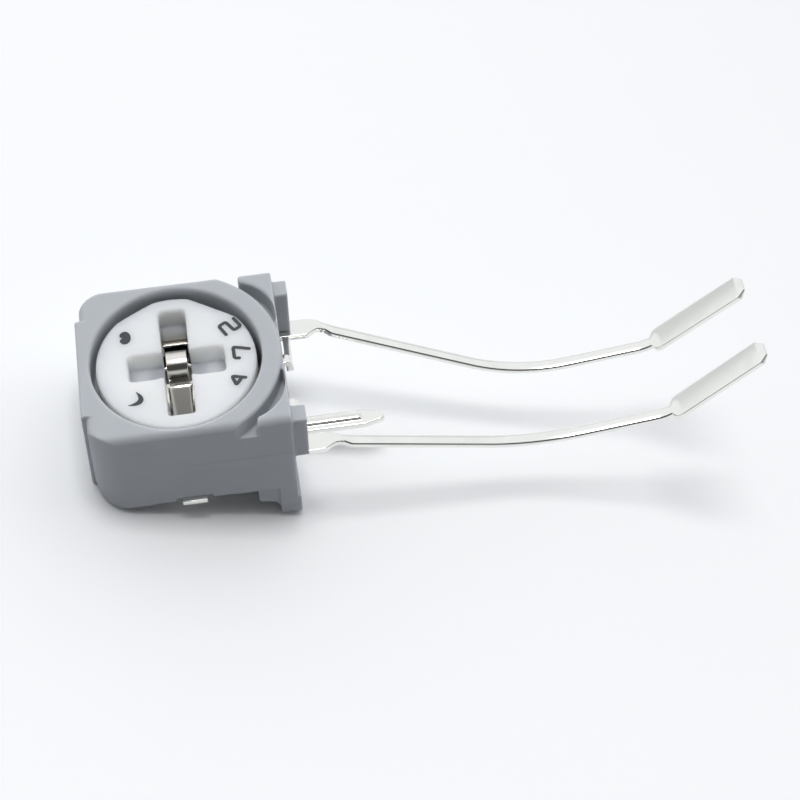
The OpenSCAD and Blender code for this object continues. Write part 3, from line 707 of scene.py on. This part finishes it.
# %% [markdown]
# The rotor gets the same treatment, with two differences. Its white hub rim stood in the window
# where the picture is dark, so the rim is lowered there. How the real hub looks at that place
# can't be seen. And the edges of the cross slot are softened further than the rest.

# %% Rotor
hub_notch_half, hub_notch_z = 0.66, -2.9
hub_notch_in, hub_notch_out, hub_rim_z = 1.55, 2.42, -1.88


def cut_hub_notches(mesh):
    """Lowers the hub's rim under the window, where it would show white."""
    points = vertex_places(mesh)
    x, y, z = points.T
    across = (np.abs(y) > hub_notch_in) & (np.abs(y) < hub_notch_out)
    inside = (np.abs(x) < hub_notch_half) & across & (z < hub_rim_z)
    points[:, 2] = np.where(inside, np.minimum(z, hub_notch_z), z)
    mesh.vertices.foreach_set("co", (points * MM).ravel())
    print("notch vertices", int(np.count_nonzero(inside)))


def cross_weight(points):
    """1 on the face near the cross arms and the slot's blind end, 0 along the window."""
    x, y, z = points.T
    arms = np.clip((np.abs(x) - 0.95) / 0.3, 0.0, 1.0) * (np.abs(y) < 1.3) * (np.abs(x) < 3.1)
    blind = np.clip((y - 1.9) / 0.3, 0.0, 1.0) * (np.abs(x) < 1.2) * (y < 4.0)
    return np.maximum(arms, blind) * np.clip((z + 1.95) / 0.3, 0.0, 1.0)


rotor_draft = fine_cells("rotor", 0.05, 5)
cut_hub_notches(rotor_draft.data)
smooth_more(rotor_draft, cross_weight(vertex_places(rotor_draft.data)), 70)
finished_copy(rotor_draft, "rotor", "moulded_rotor", rotor_plastic, DIAL, 0.35)

# %% [markdown]
# ## Leads
#
# Each lead is one stamping. A flat tab leaves the housing and narrows to a neck, where the tool
# nipped its near edge. From there the strip was rolled to round edges and bent in one long easy
# curve. Its end is flattened into a paddle with a chamfered tip. So the lead is one path with
# five numbers that change along it: how far it reaches to the left and to the right of the path,
# its thickness, the radius of its edges and the height of its crown. The fingers that grip the
# substrate are bent strips. The solids' leads proved too high at the heel after they were packed,
# so the heel here lies 0.35 mm lower and 0.1 mm nearer, and the strip and paddle are wider.

# %% Leads
tab_z = -4.25
tab_root = (5.80, 4.03, tab_z)
neck = (8.10, 4.03, tab_z)
knee = (20.0, 2.54, -9.33)
heel = (28.1, 2.54, -8.2)
paddle_rise = unit([math.cos(math.radians(45)), -math.sin(math.radians(1.2)), math.sin(math.radians(45))])
paddle_reach = 7.12
bend_reaches = (0.22, 3.2, 0.75)
lead_step = 0.05
sheet = 0.40
tab_half = 0.58
rolled_half = 0.41
nip_half = 0.22
nip_at, nip_reach, nip_depth, nip_pitch = 2.65, 0.42, 0.03, 0.24
paddle_half = 0.78
paddle_tip_half = 0.42
paddle_length, shoulder_length = 6.85, 0.42
tip_taper, tip_bevel = 0.45, 0.36
clinch_x = 6.27


def lead_strip(side):
    """The lead's main tube; side is 1 for the rear lead and -1 for the front one."""
    flip = np.array([1.0, side, 1.0])
    tip = np.array(heel) + paddle_rise * paddle_reach
    path, s = bent_path([flip * p for p in (tab_root, neck, knee, heel, tip)], bend_reaches, lead_step)
    end = s[-1]
    shoulder = np.clip((s - end + paddle_length) / shoulder_length, 0.0, 1.0)
    spread = (paddle_half - rolled_half) * (1 - (1 - shoulder) ** 2) ** 0.7
    taper = np.clip((s - end + tip_taper) / tip_taper, 0.0, 1.0) * (paddle_half - paddle_tip_half)
    left = eased(s, [(1.75, tab_half), (2.75, rolled_half)]) + spread - taper
    right = eased(s, [(1.7, tab_half), (2.35, nip_half), (2.85, nip_half), (3.25, rolled_half)])
    nipped = np.clip(1 - np.abs(s - nip_at) / nip_reach, 0.0, 1.0)
    right = right + nip_depth * nipped * np.sin(2 * math.pi * s / nip_pitch) + spread - taper
    bevel = np.clip((s - end + tip_bevel) / tip_bevel, 0.0, 1.0)
    height = eased(s, [(2.0, sheet), (3.0, 0.42), (end - 6.6, 0.42), (end - 6.2, 0.36)]) - 0.17 * bevel
    edge = eased(s, [(1.9, 0.05), (2.9, 0.17), (end - 6.6, 0.17), (end - 6.2, 0.11), (end, 0.08)])
    crown = eased(s, [(1.9, 0.0), (3.4, 0.08), (end - 6.9, 0.08), (end - 6.2, 0.02), (end, 0.02)])
    return crowned_strip(path, (0, 1, 0), left, right, height, edge, crown)


def terminal_fingers(side):
    """The bar beside the substrate and the two fingers that clinch over and under it."""
    bar, _ = even_steps(
        np.array([[clinch_x, side * 1.27, tab_z], [clinch_x, side * 3.9, tab_z]]), 0.2,
    )
    tubes = [strip(bar, (0, 0, 1), 0.192, 0.192, 0.392, 0.04)]
    for y, from_z, grip_z in ((side * 1.55, -4.4, -3.76), (side * 2.5, -4.1, -5.0)):
        finger, _ = bent_path(
            [(clinch_x, y, from_z), (clinch_x, y, grip_z), (4.7, y, grip_z)], (0.3,), 0.04,
        )
        tubes.append(strip(finger, (0, 1, 0), 0.3, 0.3, sheet, 0.05))
    return tubes


for node, side in (("rear_lead", 1), ("front_lead", -1)):
    mesh = surface("formed_" + node, tinned_brass, [lead_strip(side), *terminal_fingers(side)])
    piece = add_piece("formed_" + node, mesh, BASE)
    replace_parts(piece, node)

# %% [markdown]
# ## Collector and middle terminal
#
# One more stamping: a disc with a drawn eyelet, on which the rotor turns, a strap across the back
# and the middle terminal. The eyelet is a profile turned about the dial's axis. The terminal's
# stiffening rib is pressed up from below, so its section is a strip whose top carries a low round
# ridge of height z = sqrt(R^2 - y^2) - (R - h), and whose underside has the matching hollow.

# %% Collector
strap_z = -6.5
eyelet_in, eyelet_out = 1.36, 1.70
eyelet_top = -2.715
flange_r = 3.0
strap_half_w, strap_half_l = 0.7, 5.42
blade_z = -8.3
blade_half, blade_tip_r, blade_tip_x, blade_taper_x = 0.53, 0.30, 11.5, 10.35
rib_half, rib_height = 0.22, 0.14
rib_from, rib_to = 4.9, 10.13
inner_gap = 0.008


def turned(profile, count=96):
    """A closed profile (radius, z) turned about Z: x = r cos a, y = r sin a."""
    a = np.linspace(0.0, 2 * math.pi, count, endpoint=False)[:, None]
    r, z = profile[:, 0], np.broadcast_to(profile[:, 1], (count, len(profile)))
    return np.stack([r * np.cos(a), r * np.sin(a), z], axis=-1)


def eyelet_hoop():
    """Disc, fillet, wall, rolled rim and the drawn-in mouth at the back, as one closed profile."""
    low, high, edge = strap_z - sheet / 2, strap_z + sheet / 2, 0.05
    rim = (eyelet_out - eyelet_in) / 2
    profile = np.concatenate([
        arc((flange_r - edge, low + edge), edge, -90, 0, 5),
        arc((flange_r - edge, high - edge), edge, 0, 90, 5),
        arc((eyelet_out + 0.2, high + 0.2), 0.2, 270, 180, 8),
        arc((eyelet_out - rim, eyelet_top - rim), rim, 0, 180, 13),
        arc((eyelet_in + 0.3, low + 0.3), -0.3, 0, 90, 9),
    ])
    return turned(profile)


def blade_tube():
    """The strip from the disc down to the pin: straight, bent back and straight again."""
    path, _ = bent_path(
        [(2.0, 0, strap_z), (3.0, 0, strap_z), (4.36, 0, blade_z), (blade_tip_x, 0, blade_z)],
        (0.25, 0.25), 0.04,
    )
    x = path[:, 0]
    nose_x = blade_tip_x - blade_tip_r
    half = np.interp(x, [blade_taper_x, nose_x], [blade_half, blade_tip_r])
    nose = np.clip(x - nose_x, 0.0, blade_tip_r - 0.004)
    half = np.where(x > nose_x, np.sqrt(blade_tip_r ** 2 - nose ** 2), half)
    edge = np.minimum(0.06, half * 0.4)
    bend = (rib_half ** 2 + rib_height ** 2) / (2 * rib_height)
    dome = np.sqrt(np.clip(1 - np.clip((x - rib_to + rib_half) / rib_half, 0, 1) ** 2, 0.0, 1.0))
    swell = dome * np.clip((x - rib_from) / 0.3, 0.0, 1.0)
    y = np.linspace(1.0, -1.0, 45) * (half - edge)[:, None]
    ridge = np.clip(np.sqrt(np.clip(bend ** 2 - y ** 2, 0.0, None)) - bend + rib_height, 0.0, None)
    ridge = ridge * swell[:, None]
    thick = np.where(x < 3.2, sheet - 2 * inner_gap, sheet)[:, None] / 2
    quarter = np.linspace(0.0, math.pi / 2, 5)[1:-1]
    side_y = (half - edge)[:, None] + edge[:, None] * np.cos(quarter)
    side_z = thick - edge[:, None] + edge[:, None] * np.sin(quarter)
    right = np.stack([-side_y[:, ::-1], side_z[:, ::-1]], axis=-1)
    top = np.stack([y, thick + ridge], axis=-1)
    bottom = np.stack([-y, 0.8 * ridge - thick], axis=-1)
    flipped = np.array([1.0, -1.0])
    rings = [top, right, right[:, ::-1] * flipped, bottom, -right, -right[:, ::-1] * flipped]
    return sweep(path, (0, 1, 0), np.concatenate(rings, axis=1))


def strap_tube():
    """The strap, whose two ends stand out of the housing's sides."""
    path, s = even_steps(np.array([[0, -strap_half_l, strap_z], [0, strap_half_l, strap_z]]), 0.02)
    near = np.minimum(s, 2 * strap_half_l - s)
    worn = 0.05 * (1 - np.sqrt(1 - np.clip(1 - near / 0.05, 0.0, 1.0) ** 2))
    half = strap_half_w - worn
    return strip(path, (1, 0, 0), half, half, sheet - 2 * inner_gap - 2 * worn, 0.05)


collector_mesh = surface(
    "stamped_collector", tinned_brass, [strap_tube(), blade_tube()], [eyelet_hoop()],
)
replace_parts(add_piece("stamped_collector", collector_mesh, BASE), "collector_plate")

# %% [markdown]
# ## Wiper
#
# The wiper is a spring of thin sheet. Its tongue curls up through the window and is the bright
# roll in the middle of the dial. Below the crease the same strip slopes down as the finger that
# bears on the eyelet, so both are one strip here, swept along one line in the YZ plane. The rails,
# the two contact arms and the head on its two pins hide under the rotor. Pieces that cross lie a
# few microns inside each other, so that no two faces share a plane.

# %% Wiper
wiper_t = 0.2
plate_z = -2.15
tongue_half = 0.57
finger_tip = (-2.13, -3.0)
finger_length, finger_half = 1.7, 0.58
crease_at, crease_r = (-0.55, -1.95), 0.2
curl_at, curl_r = (0.40, -1.45), 0.75
arm_x, arm_half = 0.94, 0.3
arm_bend = (-1.75, plate_z)
arm_tip, arm_tip_r = (-3.50, -3.63), 0.18
rail_out = 1.35
head_r, head_half, head_from = 3.9, 2.35, 2.35


def in_section(points, x=0.0):
    """Points (y, z) put into the plane at x."""
    points = np.asarray(points, float)
    return np.column_stack([np.full(len(points), x), points])


def tongue_tube():
    """Finger, crease and curl as one strip."""
    line = np.concatenate([
        [finger_tip],
        arc(crease_at, crease_r, -90, 0, 13),
        arc(curl_at, curl_r, 180, -60, 61),
    ])
    path, s = even_steps(in_section(line), 0.025)
    half = np.where(s < finger_length, finger_half, tongue_half)
    return strip(path, (-1, 0, 0), half, half, wiper_t, 0.03)


def arm_tube(x):
    """A contact arm: flat at its root, then down to an upturned tip."""
    line = np.concatenate([[(-1.5, plate_z), arm_bend], arc(arm_tip, arm_tip_r, -40, -145, 13)])
    path, _ = even_steps(in_section(line, x), 0.04)
    return strip(path, (-1, 0, 0), arm_half, arm_half, wiper_t, 0.03)


def plate_tubes():
    """Two rails, the bar between them and the head that the pins go through."""
    tubes = []
    for x in (-1, 1):
        path, s = even_steps(in_section([(-1.74, plate_z), (2.7, plate_z)], x * rail_out), 0.02)
        inner = np.where(s < 1.29, rail_out - 0.64, rail_out - 0.85)
        left, right = (inner, 0.0) if x > 0 else (0.0, inner)
        tubes.append(strip(path, (-1, 0, 0), left, right, wiper_t - inner_gap, 0.02))
    bar, _ = even_steps(np.array([[-0.9, -0.42, plate_z], [0.9, -0.42, plate_z]]), 0.1)
    tubes.append(strip(bar, (0, 1, 0), 0.13, 0.13, wiper_t - 2 * inner_gap, 0.02))
    head, _ = even_steps(
        np.array([[-head_half, head_from, plate_z], [head_half, head_from, plate_z]]), 0.05,
    )
    depth = np.sqrt(head_r ** 2 - head[:, 0] ** 2) - head_from
    tubes.append(strip(head, (0, 1, 0), depth, 0.0, wiper_t - 3 * inner_gap, 0.02))
    return tubes


wiper_mesh = surface(
    "curled_wiper", nickel_silver, [tongue_tube(), arm_tube(-arm_x), arm_tube(arm_x), *plate_tubes()],
)
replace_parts(add_piece("curled_wiper", wiper_mesh, DIAL), "wiper")

# %% [markdown]
# ## Marks on the dial
#
# Pad printing leaves a film of ink that stands a hundredth of a millimetre proud, with round
# stroke ends. The dial carries three plain numbers with their tops towards its middle, a dot and
# a crescent. A number is drawn once in its own small frame as the corners of a pen stroke, then
# turned and set in its place; the stroke is a flat strip whose ends narrow along a circle.

# %% Marks on the dial
face_z = -0.45
ink_t = 0.02
stroke_half = 0.1
crescent_tips, crescent_belly = np.array([[-2.35, -1.72], [-2.83, -2.58]]), np.array([-1.69, -2.57])
dot_x, dot_y, dot_half_x, dot_half_y, dot_points = -2.68, 2.03, 0.33, 0.44, 72
numbers = {
    "two": (
        3.16, 1.90,
        [(0.45, -0.50), (-0.32, -0.50), (-0.33, -0.04), (0.43, 0.0), (0.43, 0.46), (-0.40, 0.50)],
    ),
    "seven": (3.64, 0.0, [(0.20, -0.50), (0.38, 0.10), (0.48, 0.46), (-0.30, 0.46), (-0.33, 0.10)]),
    "four": (3.21, -1.79, [(0.33, -0.42), (0.12, 0.40), (-0.33, -0.06), (0.24, -0.14)]),
}


def ink_stroke(corners, half):
    """A flat strip through the corners; half widths follow a circle at both ends."""
    path, s = bent_path(corners, [0.13] * (len(corners) - 2), 0.02)
    path[:, 2] += np.linspace(0.0, 0.3, len(path)) * ink_t
    near = np.clip(np.minimum(s, s[-1] - s), 0.0, stroke_half)
    end = np.sqrt(np.clip(1 - (1 - near / stroke_half) ** 2, 0.01, 1.0))
    return strip(path, (0, 0, 1), ink_t / 2, ink_t / 2, 2 * half * end, 0.008)


def number_tube(x, y, corners):
    """Puts a number's corners on the dial: its up direction points to the middle."""
    up = -unit([x, y])
    right = np.array([up[1], -up[0]])
    flat = np.array([x, y]) + np.array(corners) @ np.stack([right, up])
    return ink_stroke(np.column_stack([flat, np.full(len(flat), face_z)]), stroke_half)


def crescent_tube():
    """A parabola between two tips; the half width swells as sin(pi t) between them."""
    start, end = crescent_tips
    t = np.linspace(0.0, 1.0, 41)[:, None]
    flat = (1 - t) ** 2 * start + 2 * t * (1 - t) * crescent_belly + t ** 2 * end
    path = np.column_stack([flat, np.full(len(flat), face_z)])
    half = 0.15 * np.clip(np.sin(math.pi * t[:, 0]), 0.03, 1.0) ** 0.8
    return strip(path, (0, 0, 1), ink_t / 2, ink_t / 2, 2 * half, 0.003)


def dot_tube():
    """An oval dot with a nick on its left: r = 1 - nick * exp(-(angle from the left)^2)."""
    a = np.linspace(0.0, 2 * math.pi, dot_points, endpoint=False)
    r = 1 - 0.55 * np.exp(-((a - math.pi) / 0.28) ** 2)
    outline = np.stack([dot_x + dot_half_x * r * np.cos(a), dot_y + dot_half_y * r * np.sin(a)], axis=1)
    levels = (face_z - ink_t / 2, face_z + ink_t / 2)
    return np.stack([np.column_stack([outline, np.full(dot_points, z)]) for z in levels])


for name, tube in [
    *(("number_" + name, number_tube(*where)) for name, where in numbers.items()),
    ("mark_crescent", crescent_tube()), ("mark_dot", dot_tube()),
]:
    add_piece(name, surface(name, print_ink, [tube]), DIAL)

# %% [markdown]
# ## Board, track and pads
#
# These three lie under the rotor and have flat forms that facets carry well, so their solids are
# kept as they are and only get their materials.

# %% Carried-over solids
for node, material in (
    ("substrate", laminate), ("resistive_track", carbon_film), ("track_end_pads", silver_paint),
):
    nodes[node].data.materials.clear()
    nodes[node].data.materials.append(material)
